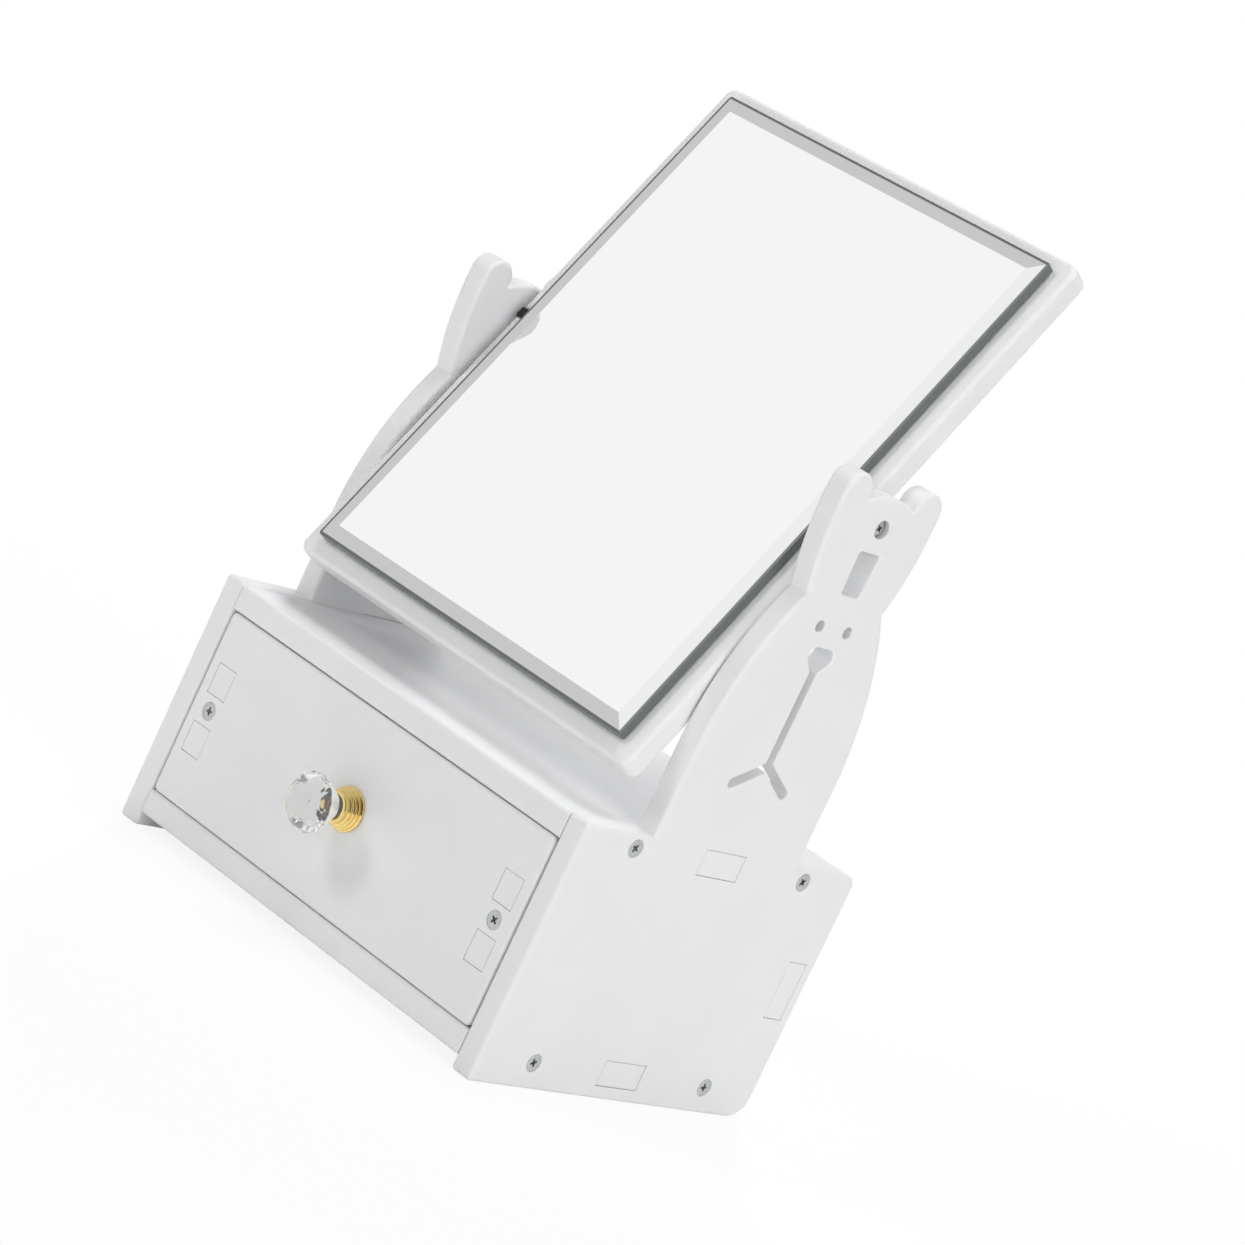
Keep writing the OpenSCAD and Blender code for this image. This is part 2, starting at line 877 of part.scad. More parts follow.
module mirror_pads() {
    pad_up = glass_up - 2 * bevel_w;
    pad_down = glass_down - 2 * bevel_w;
    pad_x = glass_w / 2 - bevel_w - pad_w / 2;
    color(pad_colour)
        in_mirror()
            for (x = [-pad_x, 0, pad_x])
                translate([x - pad_w / 2, glass_back_y, -pad_down])
                    cube([pad_w, pad_t, pad_up + pad_down]);
}

module pivot_screw() {
    head_x = case_w / 2 - pivot_bore_depth + washer_play;
    in_mirror()
        translate([head_x, 0, 0])
            pointing_right()
                difference() {
                    union() {
                        cylinder(h = pivot_head_h, d = pivot_head_d);
                        translate([0, 0, -pivot_l])
                            cylinder(h = pivot_l + 0.01, d = pivot_d);
                    }
                    translate([0, 0, pivot_head_h])
                        cross_recess(pivot_head_d);
                }
}

module right_pivot_screw() {
    color(steel_colour)
        pivot_screw();
}

module left_pivot_screw() {
    color(steel_colour)
        mirror([1, 0, 0])
            pivot_screw();
}

// Bush that fills its keyed seat and spaces the board from the side panel
module pivot_washer() {
    in_mirror()
        difference() {
            union() {
                translate([mirror_w / 2 - pivot_bush_l, 0, 0])
                    keyed_bush(pivot_bush_l, 0, 0);
                translate([mirror_w / 2 - 0.01, 0, 0])
                    pointing_right()
                        cylinder(h = mirror_side_gap - washer_play + 0.01, d = pivot_bush_d);
            }
            translate([mirror_w / 2 - pivot_bush_l - past, 0, 0])
                pointing_right()
                    cylinder(h = pivot_bush_l + mirror_side_gap + 2 * past, d = pivot_d + 2 * shank_gap);
        }
}

module right_pivot_washer() {
    color(washer_colour)
        pivot_washer();
}

module left_pivot_washer() {
    color(washer_colour)
        mirror([1, 0, 0])
            pivot_washer();
}

right_side_panel();
left_side_panel();
top_panel();
bottom_panel();
back_panel();
right_panel_screws();
left_panel_screws();
drawer_front();
drawer_right_side();
drawer_left_side();
drawer_back();
drawer_bottom();
drawer_front_screws();
drawer_back_screws();
knob_base();
knob_crystal();
knob_screw();
mirror_board();
mirror_glass();
mirror_pads();
right_pivot_screw();
left_pivot_screw();
right_pivot_washer();
left_pivot_washer();
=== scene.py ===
"""Finishes, eased boards, cut knob, screws, light and camera of a white table-top vanity mirror."""

import json
import math

import bmesh
import bpy
from mathutils import Matrix, Vector
from mathutils.bvhtree import BVHTree


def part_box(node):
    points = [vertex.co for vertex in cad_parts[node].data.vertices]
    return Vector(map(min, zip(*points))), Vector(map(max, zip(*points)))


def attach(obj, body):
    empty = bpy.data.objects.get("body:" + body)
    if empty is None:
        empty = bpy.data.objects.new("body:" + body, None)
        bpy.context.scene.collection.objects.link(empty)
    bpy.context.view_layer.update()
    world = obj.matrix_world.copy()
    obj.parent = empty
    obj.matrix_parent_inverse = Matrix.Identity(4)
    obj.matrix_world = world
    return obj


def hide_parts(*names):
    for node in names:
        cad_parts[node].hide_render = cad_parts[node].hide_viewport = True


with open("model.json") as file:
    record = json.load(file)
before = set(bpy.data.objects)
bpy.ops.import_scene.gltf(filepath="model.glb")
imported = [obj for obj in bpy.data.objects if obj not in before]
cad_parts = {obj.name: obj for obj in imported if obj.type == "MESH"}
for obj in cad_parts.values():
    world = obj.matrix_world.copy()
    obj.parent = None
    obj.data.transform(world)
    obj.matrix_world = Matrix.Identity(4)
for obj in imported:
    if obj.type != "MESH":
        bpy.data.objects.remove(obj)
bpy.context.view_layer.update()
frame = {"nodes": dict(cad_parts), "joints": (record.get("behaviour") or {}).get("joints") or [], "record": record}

MM = 0.001
NODES = frame["nodes"]
BODIES = frame["record"]["behaviour"]["bodies"]
PIVOT = Vector(next(j["pos_m"] for j in frame["joints"] if j["name"] == "mirror_tilt"))
LEAN = math.radians(27)
MIRROR_FRONT = Vector((0, -math.cos(LEAN), math.sin(LEAN)))


# Camera

VIEW_AZIMUTH = math.radians(40.49)
VIEW_ELEVATION = math.radians(9.24)
VIEW_ROLL = math.radians(25.17)
CAMERA_PLACE = Vector((1060.69, -1213.79, 405.12)) * MM
LENS = 135.415
SENSOR = 36
NEAREST_SEEN = 0.05
FARTHEST_SEEN = 60
TOWARDS_CAMERA = Vector((
    math.sin(VIEW_AZIMUTH) * math.cos(VIEW_ELEVATION),
    -math.cos(VIEW_AZIMUTH) * math.cos(VIEW_ELEVATION),
    math.sin(VIEW_ELEVATION),
))


def add_camera():
    """The photograph's view: from the front right, a little above, and rolled."""
    data = bpy.data.cameras.new("camera")
    data.sensor_width = SENSOR
    data.lens = LENS
    data.clip_start = NEAREST_SEEN
    data.clip_end = FARTHEST_SEEN
    camera = bpy.data.objects.new("camera", data)
    bpy.context.scene.collection.objects.link(camera)
    right = Vector((math.cos(VIEW_AZIMUTH), math.sin(VIEW_AZIMUTH), 0))
    up = TOWARDS_CAMERA.cross(right)
    across = right * math.cos(VIEW_ROLL) + up * math.sin(VIEW_ROLL)
    along = up * math.cos(VIEW_ROLL) - right * math.sin(VIEW_ROLL)
    turn = Matrix((across, along, TOWARDS_CAMERA)).transposed().to_4x4()
    camera.matrix_world = Matrix.Translation(CAMERA_PLACE) @ turn
    bpy.context.scene.camera = camera


add_camera()


# Shader arithmetic

class Value:
    """What comes out of a node's socket. It takes part in arithmetic, which adds Math nodes."""

    def __init__(self, finish, socket):
        self.finish = finish
        self.socket = socket

    def reckon(self, operation, *terms):
        """A Math node with these terms."""
        return self.finish.make("ShaderNodeMath", {"operation": operation}, dict(enumerate(terms)))

    def __add__(self, other):
        return self.reckon("ADD", self, other)

    def __sub__(self, other):
        return self.reckon("SUBTRACT", self, other)

    def __rsub__(self, other):
        return self.reckon("SUBTRACT", other, self)

    def __mul__(self, other):
        return self.reckon("MULTIPLY", self, other)

    def __truediv__(self, other):
        return self.reckon("DIVIDE", self, other)

    __radd__ = __add__
    __rmul__ = __mul__

    def size(self):
        return self.reckon("ABSOLUTE", self)

    def sine(self):
        return self.reckon("SINE", self)

    def root(self):
        return self.reckon("SQRT", self)

    def rise(self, low, high):
        """0 below low and 1 above high, with a soft step between them."""
        inputs = {"Value": self, "From Min": low, "From Max": high}
        return self.finish.make("ShaderNodeMapRange", {"interpolation_type": "SMOOTHSTEP"}, inputs)


class Finish:
    """A material, and the one way in which its nodes are made."""

    def __init__(self, name):
        self.material = bpy.data.materials.new(name)
        self.material.use_nodes = True
        self.tree = self.material.node_tree
        self.tree.nodes.clear()
        self.place = self.make("ShaderNodeTexCoord", {}, {}, "Object")

    def make(self, kind, settings, inputs, output=0):
        """Adds a node: its settings first, then its sockets' values or links."""
        node = self.tree.nodes.new(kind)
        for key, setting in settings.items():
            setattr(node, key, setting)
        for key, value in inputs.items():
            if isinstance(value, Value):
                self.tree.links.new(value.socket, node.inputs[key])
            else:
                node.inputs[key].default_value = value
        return Value(self, node.outputs[output])

    def noise(self, scale, detail):
        """Noise around 0.5, scale features to the metre."""
        inputs = {"Vector": self.place, "Scale": scale, "Detail": detail}
        return self.make("ShaderNodeTexNoise", {}, inputs)

    def turned_place(self, centre, rotation):
        """The place as seen from a piece's own centre and rotation."""
        inputs = {"Vector": self.place, "Location": centre, "Rotation": rotation}
        return self.make("ShaderNodeMapping", {"vector_type": "TEXTURE"}, inputs)

    def parts(self, place):
        """The three coordinates of a place."""
        split = self.tree.nodes.new("ShaderNodeSeparateXYZ")
        self.tree.links.new(place.socket, split.inputs[0])
        return [Value(self, socket) for socket in split.outputs]

    def blend(self, low, high, mask):
        """The colour low where the mask is 0, and high where it is 1."""
        inputs = {0: mask}
        for key, colour in ((6, low), (7, high)):
            inputs[key] = colour if isinstance(colour, Value) else (*colour, 1)
        return self.make("ShaderNodeMix", {"data_type": "RGBA"}, inputs, 2)

    def bump(self, height, depth):
        """The normal of a surface whose height of 0 to 1 is depth metres deep."""
        inputs = {"Height": height, "Distance": depth, "Strength": 1.0}
        return self.make("ShaderNodeBump", {}, inputs)

    def coat(self, **inputs):
        """Ends the material with its surface. A name's underscores stand for spaces."""
        named = {key.replace("_", " "): value for key, value in inputs.items()}
        for key, value in named.items():
            if isinstance(value, tuple):
                named[key] = (*value, 1)
        self.make_output(self.make("ShaderNodeBsdfPrincipled", {}, named))
        return self.material

    def make_output(self, surface):
        output = self.tree.nodes.new("ShaderNodeOutputMaterial")
        self.tree.links.new(surface.socket, output.inputs["Surface"])


# Finishes

TURNING_MARKS = 9000
# Painted shade: the depths over the bevel where the mirror's colour darkens to a shade line along the rim.
PAINTED_RIM_SHADE = (0.78, 0.86)
BEVEL_END = (1.0, 1.06)


def lacquered_board():
    """Satin white lacquer on smooth board, faintly mottled."""
    finish = Finish("white_lacquer")
    mottle = finish.noise(38, 3).rise(0.3, 0.7)
    colour = finish.blend((0.812, 0.816, 0.825), (0.828, 0.832, 0.838), mottle)
    smear = finish.noise(70, 4)
    return finish.coat(
        Base_Color=colour,
        Roughness=0.4 + 0.12 * smear,
        Specular_IOR_Level=0.4,
    )


def zinc_plate():
    """Bright zinc with faint grey blotches and tumbling marks."""
    finish = Finish("bright_zinc")
    blotch = finish.noise(900, 4)
    marks = finish.noise(5200, 2)
    return finish.coat(
        Base_Color=finish.blend((0.40, 0.41, 0.42), (0.66, 0.67, 0.68), blotch),
        Metallic=1.0,
        Roughness=0.2 + 0.2 * marks,
        Normal=finish.bump(marks, 0.03 * MM),
    )


def gold_plate(axis_x, axis_z):
    """Polished gold plating with the fine rings that turning leaves."""
    finish = Finish("polished_gold")
    x, y, z = finish.parts(finish.place)
    across = x - axis_x
    above = z - axis_z
    reach = (across * across + above * above).root()
    rings = ((reach + y) * TURNING_MARKS).sine() * 0.5 + 0.5
    tarnish = finish.noise(260, 3)
    return finish.coat(
        Base_Color=finish.blend((0.84, 0.60, 0.20), (0.97, 0.76, 0.34), tarnish),
        Metallic=1.0,
        Roughness=0.06 + 0.06 * tarnish,
        Normal=finish.bump(rings, 0.01 * MM),
    )


def cut_crystal():
    """Polished crystal with the faintest smudges; a milky share keeps its facets light."""
    finish = Finish("cut_crystal")
    smudge = finish.noise(160, 4).rise(0.5, 0.8)
    return finish.coat(
        Base_Color=(0.97, 0.975, 0.98),
        Roughness=0.03 * smudge,
        Transmission_Weight=0.88,
        IOR=1.33,
    )


def silvered_glass(face_depth, bevel_depth):
    """Mirror glass with a dark edge. Its silvering lies behind, so a bevel seems to tilt the other way. Near the
    bevel's outer rim the colour darkens to a painted shade line.
    """
    finish = Finish("silvered_glass")
    x, y, z = finish.parts(finish.turned_place(PIVOT, (-LEAN, 0, 0)))
    fall = (y - face_depth) / bevel_depth
    on_edge = fall.rise(*BEVEL_END)
    film = finish.blend((0.943, 0.947, 0.947), (0.949, 0.953, 0.953), finish.noise(40, 3))
    # Painted shade: over the outer part of the bevel the colour turns dark grey, a line of shade along the glass's
    # rim.
    silver_and_rim_shade = finish.blend(film, (0.24, 0.25, 0.25), fall.rise(*PAINTED_RIM_SHADE))
    facing = finish.make("ShaderNodeTexCoord", {}, {}, "Normal")
    turned = {0: 2 * MIRROR_FRONT, 1: facing}
    bent = finish.make("ShaderNodeVectorMath", {"operation": "SUBTRACT"}, turned)
    seen = finish.make("ShaderNodeMix", {"data_type": "VECTOR"}, {0: on_edge, 4: bent, 5: facing}, 1)
    normal = finish.make(
        "ShaderNodeVectorTransform",
        {"vector_type": "NORMAL", "convert_from": "OBJECT", "convert_to": "WORLD"},
        {"Vector": seen},
    )
    return finish.coat(
        Base_Color=finish.blend(silver_and_rim_shade, (0.13, 0.145, 0.145), on_edge),
        Metallic=1.0 - on_edge,
        Roughness=0.3 * on_edge,
        Normal=normal,
    )


def foam_tape():
    """Grey double-sided foam with open cells."""
    finish = Finish("foam_tape")
    inputs = {"Vector": finish.place, "Scale": 3000}
    cells = finish.make("ShaderNodeTexVoronoi", {}, inputs, "Distance")
    return finish.coat(
        Base_Color=finish.blend((0.18, 0.18, 0.185), (0.30, 0.30, 0.31), cells),
        Roughness=0.9,
        Normal=finish.bump(cells, 0.1 * MM),
    )


def black_rubber():
    """Matt black moulded rubber."""
    finish = Finish("black_washer")
    grain = finish.noise(4000, 3)
    return finish.coat(
        Base_Color=finish.blend((0.012, 0.012, 0.012), (0.03, 0.03, 0.032), grain),
        Roughness=0.5 + 0.2 * grain,
        Normal=finish.bump(grain, 0.04 * MM),
    )


# Modelling

MERGE = 0.03 * MM
FLAT = math.radians(0.3)
SHARP = math.radians(30)
RUN_BEND = math.radians(40)
LEVEL = 0.9995
SEAM_REACH = 0.3 * MM
SEAM_TESTS = (0.1, 0.3, 0.5, 0.7, 0.9)
SEAM_SHARE = 0.3
ARRIS_STEPS = 4


def pick(*pieces):
    """Selects these pieces alone, the first of them active."""
    bpy.ops.object.select_all(action="DESELECT")
    for piece in pieces:
        piece.select_set(True)
    bpy.context.view_layer.objects.active = pieces[0]


def merged_copy(node):
    """A copy of a CAD node's mesh with its loose triangles joined into whole faces."""
    piece = bpy.data.objects.new(node + "_piece", NODES[node].data.copy())
    bpy.context.scene.collection.objects.link(piece)
    pick(piece)
    bpy.ops.mesh.customdata_custom_splitnormals_clear()
    bpy.ops.object.mode_set(mode="EDIT")
    bpy.ops.mesh.select_all(action="SELECT")
    bpy.ops.mesh.remove_doubles(threshold=MERGE)
    bpy.ops.mesh.dissolve_limited(angle_limit=FLAT)
    bpy.ops.object.mode_set(mode="OBJECT")
    return piece


def surface_of(node):
    """The node's surface, for measuring how near something is."""
    mesh = NODES[node].data
    return BVHTree.FromPolygons([v.co for v in mesh.vertices], [list(p.vertices) for p in mesh.polygons])


SURFACES = {node: surface_of(node) for node in NODES}


def body_of(node):
    """The body that the node moves with."""
    return next(body for body, members in BODIES.items() if node in members)


def in_one_plane(edge, other):
    """Whether a face at one edge is level with a face at the other."""
    return any(a.normal.dot(b.normal) > LEVEL for a in edge.link_faces for b in other.link_faces)


def run_of(edge):
    """The convex edges that go on from this one in a line or an arc, with it."""
    run = [edge]
    for known in run:
        for corner in known.verts:
            away = known.other_vert(corner).co - corner.co
            for after in corner.link_edges:
                if after.tag or after in run or not in_one_plane(known, after):
                    continue
                if (corner.co - after.other_vert(corner).co).angle(away) < RUN_BEND:
                    run.append(after)
    return run


def mark_arrises(piece, node, seam_share):
    """Weighs the sharp edges: 1 where a run of them is free, seam_share where it lies along another piece."""
    others = [SURFACES[other] for other in BODIES[body_of(node)] if other != node]
    shape = bmesh.new()
    shape.from_mesh(piece.data)
    weight = shape.edges.layers.float.new("bevel_weight_edge")
    for edge in shape.edges:
        edge.tag = not (edge.is_convex and edge.calc_face_angle(0) > SHARP)
    for edge in shape.edges:
        if edge.tag:
            continue
        run = run_of(edge)
        seam = free = 0
        for part in run:
            part.tag = True
            for along in SEAM_TESTS:
                place = part.verts[0].co.lerp(part.verts[1].co, along)
                if any(tree.find_nearest(place, SEAM_REACH)[0] for tree in others):
                    seam += part.calc_length()
                else:
                    free += part.calc_length()
        for part in run:
            part[weight] = seam_share if seam > free else 1.0
    shape.to_mesh(piece.data)
    shape.free()


def smooth_between(piece):
    """Smooth shading over rounds and arcs, flat on flat faces, sharp at true corners."""
    pick(piece)
    bpy.ops.object.shade_smooth_by_angle(angle=SHARP)
    level = piece.modifiers.new("level", "WEIGHTED_NORMAL")
    level.weight = 100
    level.keep_sharp = True
    bpy.ops.object.modifier_apply(modifier=level.name)


def round_edges(piece, width, steps):
    """Rounds the weighed edges, or cuts them straight with one step."""
    pick(piece)
    bevel = piece.modifiers.new("round", "BEVEL")
    bevel.width = width
    bevel.segments = steps
    bevel.limit_method = "WEIGHT"
    bevel.use_clamp_overlap = False
    bevel.loop_slide = False
    bpy.ops.object.modifier_apply(modifier=bevel.name)


def rims_of(face_set):
    """The closed rims of a set of faces, each a list of corners with the faces on its left."""
    after = {}
    for face in face_set:
        for loop in face.loops:
            if any(other not in face_set for other in loop.edge.link_faces):
                after[loop.vert] = loop.link_loop_next.vert
    rims = []
    while after:
        corner, follower = after.popitem()
        rim = [corner]
        while follower is not rim[0]:
            rim.append(follower)
            follower = after.pop(follower)
        rims.append(rim)
    return rims


def ease_rims(piece, outward, arris_of):
    """Rounds every rim of a board's flat face by the arris for it, and closes the face again."""
    shape = bmesh.new()
    shape.from_mesh(piece.data)
    top = max(corner.co.dot(outward) for corner in shape.verts)
    flat = {
        face for face in shape.faces
        if face.normal.dot(outward) > LEVEL and face.verts[0].co.dot(outward) > top - SEAM_REACH
    }
    rims = rims_of(flat)
    bmesh.ops.delete(shape, geom=list(flat), context="FACES")
    closing = []
    for rim in rims:
        places = [corner.co.copy() for corner in rim]
        arris = arris_of(places)
        inward = []
        for place, following in zip(places, places[1:] + places[:1]):
            inward.append(outward.cross(following - place).normalized())
        drift = [(a + b) / (1 + a.dot(b)) for a, b in zip(inward[-1:] + inward, inward)]
        for corner in rim:
            corner.co -= outward * arris
        below = rim
        for step in range(1, ARRIS_STEPS + 1):
            turn = math.pi / 2 * step / ARRIS_STEPS
            across = arris * (1 - math.cos(turn))
            under = arris * (1 - math.sin(turn))
            ring = [shape.verts.new(p + d * across - outward * under) for p, d in zip(places, drift)]
            for i in range(len(rim)):
                shape.faces.new((below[i - 1], below[i], ring[i], ring[i - 1]))
            below = ring
        closing += [shape.edges.get((below[i - 1], below[i])) for i in range(len(rim))]
    bmesh.ops.triangle_fill(shape, use_beauty=True, edges=closing, normal=outward)
    shape.to_mesh(piece.data)
    shape.free()


def dress(piece, material, node):
    """Gives a finished piece its material, body and slot; it stands for its node."""
    piece.data.materials.clear()
    piece.data.materials.append(material)
    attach(piece, body_of(node))
    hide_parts(node)


def eased_board(node, arris, material):
    """A board without holes, with its arrises rubbed round and its joints left crisp."""
    piece = merged_copy(node)
    mark_arrises(piece, node, SEAM_SHARE)
    round_edges(piece, arris, ARRIS_STEPS)
    smooth_between(piece)
    dress(piece, material, node)


def eased_pierced_board(node, outward, arris_of, material):
    """A board whose two faces have holes or long rims, each rim eased by the arris for it."""
    piece = merged_copy(node)
    ease_rims(piece, outward, arris_of)
    ease_rims(piece, -outward, arris_of)
    smooth_between(piece)
    dress(piece, material, node)


# Boards

WHITE = lacquered_board()
PANEL_ARRIS = 1.45 * MM
DRAWER_ARRIS = 1.1 * MM
MIRROR_ARRIS = 1.8 * MM
JOINT_ARRIS = 0.16 * MM
CUT_ARRIS = 0.6 * MM
PIVOT_REACH = 6 * MM
OUTLINE_REACH = 60 * MM
FACE_LEVEL = 110 * MM


def reach_of(places):
    """The middle of a rim, and its longest extent."""
    low = Vector(min(p[i] for p in places) for i in range(3))
    high = Vector(max(p[i] for p in places) for i in range(3))
    return (low + high) / 2, max(high - low)


def panel_arris(places):
    """A side panel's outline is rubbed most, its cut-outs less, its joints and screw holes least."""
    middle, extent = reach_of(places)
    if extent > OUTLINE_REACH:
        return PANEL_ARRIS
    if middle.z > FACE_LEVEL and (middle - PIVOT).yz.length > PIVOT_REACH:
        return CUT_ARRIS
    return JOINT_ARRIS


def drawer_arris(places):
    """The outline of the drawer's front and back is rubbed, its joints and screw holes hardly."""
    return DRAWER_ARRIS if reach_of(places)[1] > OUTLINE_REACH else JOINT_ARRIS


for node in ("right_side_panel", "left_side_panel"):
    eased_pierced_board(node, Vector((1, 0, 0)), panel_arris, WHITE)
for node in ("drawer_front", "drawer_back"):
    eased_pierced_board(node, Vector((0, 1, 0)), drawer_arris, WHITE)
for node in ("top_panel", "bottom_panel", "back_panel"):
    eased_board(node, PANEL_ARRIS, WHITE)
for node in ("drawer_right_side", "drawer_left_side", "drawer_bottom"):
    eased_board(node, DRAWER_ARRIS, WHITE)
eased_pierced_board("mirror_board", MIRROR_FRONT, lambda places: MIRROR_ARRIS, WHITE)


# Mirror glass

GLASS_FACE = -9.2 * MM
BEVEL_DEPTH = 1.0 * MM
GLASS_ARRIS = 0.2 * MM


def add_glass():
    """The glass with its sharp rims taken off, and its face, bevels and edge left flat."""
    piece = merged_copy("mirror_glass")
    mark_arrises(piece, "mirror_glass", 1.0)
    round_edges(piece, GLASS_ARRIS, 3)
    pick(piece)
    bpy.ops.object.shade_flat()
    dress(piece, silvered_glass(GLASS_FACE, BEVEL_DEPTH), "mirror_glass")


add_glass()


# Turned pieces

SCREW_HEAD_R = 3.4 * MM
SCREW_HEAD_H = 1.9 * MM
SCREW_L = 24 * MM
SHANK_R = 1.7 * MM
PIVOT_HEAD_R = 3.0 * MM
PIVOT_HEAD_H = 2.2 * MM
PIVOT_SHANK_L = 26 * MM
PIVOT_SHANK_R = 2 * MM
TIP_L = 3 * MM
CROSS_DEPTH = 1.5 * MM
CROSS_REACH = 0.62
CROSS_HALF = 0.14
SCREW_SIDES = 48


def turned(name, profile, sides):
    """A piece turned about Z: a disc drawn out from one (height, radius) of its profile to the next."""
    height, radius = profile[0]
    foot = (0, 0, height)
    bpy.ops.object.select_all(action="DESELECT")
    bpy.ops.mesh.primitive_circle_add(vertices=sides, radius=radius, fill_type="NGON", location=foot)
    piece = bpy.context.active_object
    piece.name = name
    bpy.ops.object.transform_apply(location=True, rotation=True, scale=True)
    bpy.ops.object.mode_set(mode="EDIT")
    bpy.ops.mesh.select_all(action="SELECT")
    for after_height, after_radius in profile[1:]:
        lift = (0, 0, after_height - height)
        bpy.ops.mesh.extrude_region_move(TRANSFORM_OT_translate={"value": lift})
        share = after_radius / radius
        bpy.ops.transform.resize(value=(share, share, 1), center_override=(0, 0, after_height))
        height, radius = after_height, after_radius
    bpy.ops.mesh.select_all(action="SELECT")
    bpy.ops.mesh.normals_make_consistent(inside=False)
    bpy.ops.object.mode_set(mode="OBJECT")
    return piece


def add_block(name, size):
    """A block around the origin."""
    bpy.ops.object.select_all(action="DESELECT")
    bpy.ops.mesh.primitive_cube_add(size=1, location=(0, 0, 0))
    block = bpy.context.active_object
    block.name = name
    block.scale = size
    bpy.ops.object.transform_apply(location=True, rotation=True, scale=True)
    return block


def cut_away(piece, cutter):
    """Takes the cutter's shape out of the piece."""
    pick(piece)
    cut = piece.modifiers.new("cut", "BOOLEAN")
    cut.operation = "DIFFERENCE"
    cut.solver = "EXACT"
    cut.object = cutter
    bpy.ops.object.modifier_apply(modifier=cut.name)
    bpy.data.objects.remove(cutter)


def cut_cross(piece, head_radius):
    """A driver's cross recess: four wings that narrow to the bottom, on a round well."""
    reach = CROSS_REACH * head_radius
    half = CROSS_HALF * head_radius
    for turn in (0, math.pi / 2):
        wing = add_block("wing", (2 * reach, 2 * half, 2 * CROSS_DEPTH))
        for corner in wing.data.vertices:
            if corner.co.z < 0:
                corner.co.x *= 0.45
                corner.co.y *= 0.7
        wing.data.transform(Matrix.Rotation(turn, 4, "Z"))
        cut_away(piece, wing)
    profile = [(-1.15 * CROSS_DEPTH, 0.1 * head_radius)]
    profile += [(-CROSS_DEPTH, 1.3 * half), (CROSS_DEPTH, 1.9 * half)]
    cut_away(piece, turned("well", profile, SCREW_SIDES // 2))


def arc(centre_height, centre_radius, reach, start, end, steps):
    """Points of an arc in a profile; 0 degrees points outwards and 90 along the axis."""
    points = []
    for step in range(steps + 1):
        turn = math.radians(start + (end - start) * step / steps)
        points.append((centre_height + reach * math.sin(turn), centre_radius + reach * math.cos(turn)))
    return points


def board_screw():
    """Countersunk screw, its head slightly domed with the highest point at z = 0."""
    rim = SCREW_HEAD_R
    profile = [(-SCREW_L, 0.5 * MM), (TIP_L - SCREW_L, SHANK_R)]
    profile += [(-SCREW_HEAD_H, SHANK_R), (-0.25 * MM, rim - 0.05 * MM)]
    profile += arc(-0.17 * MM, rim - 0.12 * MM, 0.1 * MM, -30, 75, 4)
    profile += [(-0.03 * MM, 0.8 * rim), (-0.005 * MM, 0.5 * rim), (0, 0.2 * rim)]
    screw = turned("board_screw", profile, SCREW_SIDES)
    cut_cross(screw, rim)
    return screw


def pivot_screw():
    """Pan-head screw with its highest point at z = 0."""
    rim = PIVOT_HEAD_R
    under = -PIVOT_HEAD_H
    end = under - PIVOT_SHANK_L
    profile = [(end, 0.6 * MM), (end + TIP_L, PIVOT_SHANK_R)]
    profile += [(under, PIVOT_SHANK_R), (under, rim - 0.15 * MM)]
    profile += arc(under + 0.3 * MM, rim - 0.15 * MM, 0.15 * MM, -60, 0, 3)
    profile += arc(-0.85 * MM, rim - 0.75 * MM, 0.75 * MM, 0, 80, 8)
    profile += [(-0.03 * MM, 0.5 * rim), (0, 0.2 * rim)]
    screw = turned("pivot_screw", profile, SCREW_SIDES)
    cut_cross(screw, rim)
    return screw


ZINC = zinc_plate()


def set_screws(node, model, head_radius, outward, turns):
    """Copies of the model in the places of a node's screws, joined to one piece for the node."""
    low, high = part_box(node)
    axis = max(range(3), key=lambda i: abs(outward[i]))
    level = high[axis] if outward[axis] > 0 else low[axis]
    spots = [[level]] * 3
    for i in range(3):
        if i != axis:
            near, far = low[i] + head_radius, high[i] - head_radius
            spots[i] = [near, far] if far - near > head_radius else [(near + far) / 2]
    places = [Vector((x, y, z)) for x in spots[0] for y in spots[1] for z in spots[2]]
    stand = Vector(outward).to_track_quat("Z", "Y").to_matrix().to_4x4()
    copies = []
    for place, turn in zip(places, turns):
        copy = model.copy()
        copy.data = model.data.copy()
        bpy.context.scene.collection.objects.link(copy)
        spin = Matrix.Rotation(math.radians(turn), 4, "Z")
        copy.data.transform(Matrix.Translation(place) @ stand @ spin)
        copies.append(copy)
    pick(*copies)
    if len(copies) > 1:
        bpy.ops.object.join()
    piece = bpy.context.view_layer.objects.active
    piece.name = node + "_piece"
    smooth_between(piece)
    dress(piece, ZINC, node)


BOARD_SCREW = board_screw()
PIVOT_SCREW = pivot_screw()
set_screws("right_panel_screws", BOARD_SCREW, SCREW_HEAD_R, (1, 0, 0), (20, 62, 8, 41))
set_screws("left_panel_screws", BOARD_SCREW, SCREW_HEAD_R, (-1, 0, 0), (33, 5, 70, 18))
set_screws("drawer_front_screws", BOARD_SCREW, SCREW_HEAD_R, (0, -1, 0), (12, 50))
set_screws("drawer_back_screws", BOARD_SCREW, SCREW_HEAD_R, (0, 1, 0), (28, 66))
set_screws("right_pivot_screw", PIVOT_SCREW, PIVOT_HEAD_R, (1, 0, 0), (35,))
set_screws("left_pivot_screw", PIVOT_SCREW, PIVOT_HEAD_R, (-1, 0, 0), (10,))
for model in (BOARD_SCREW, PIVOT_SCREW):
    bpy.data.objects.remove(model)


# Knob

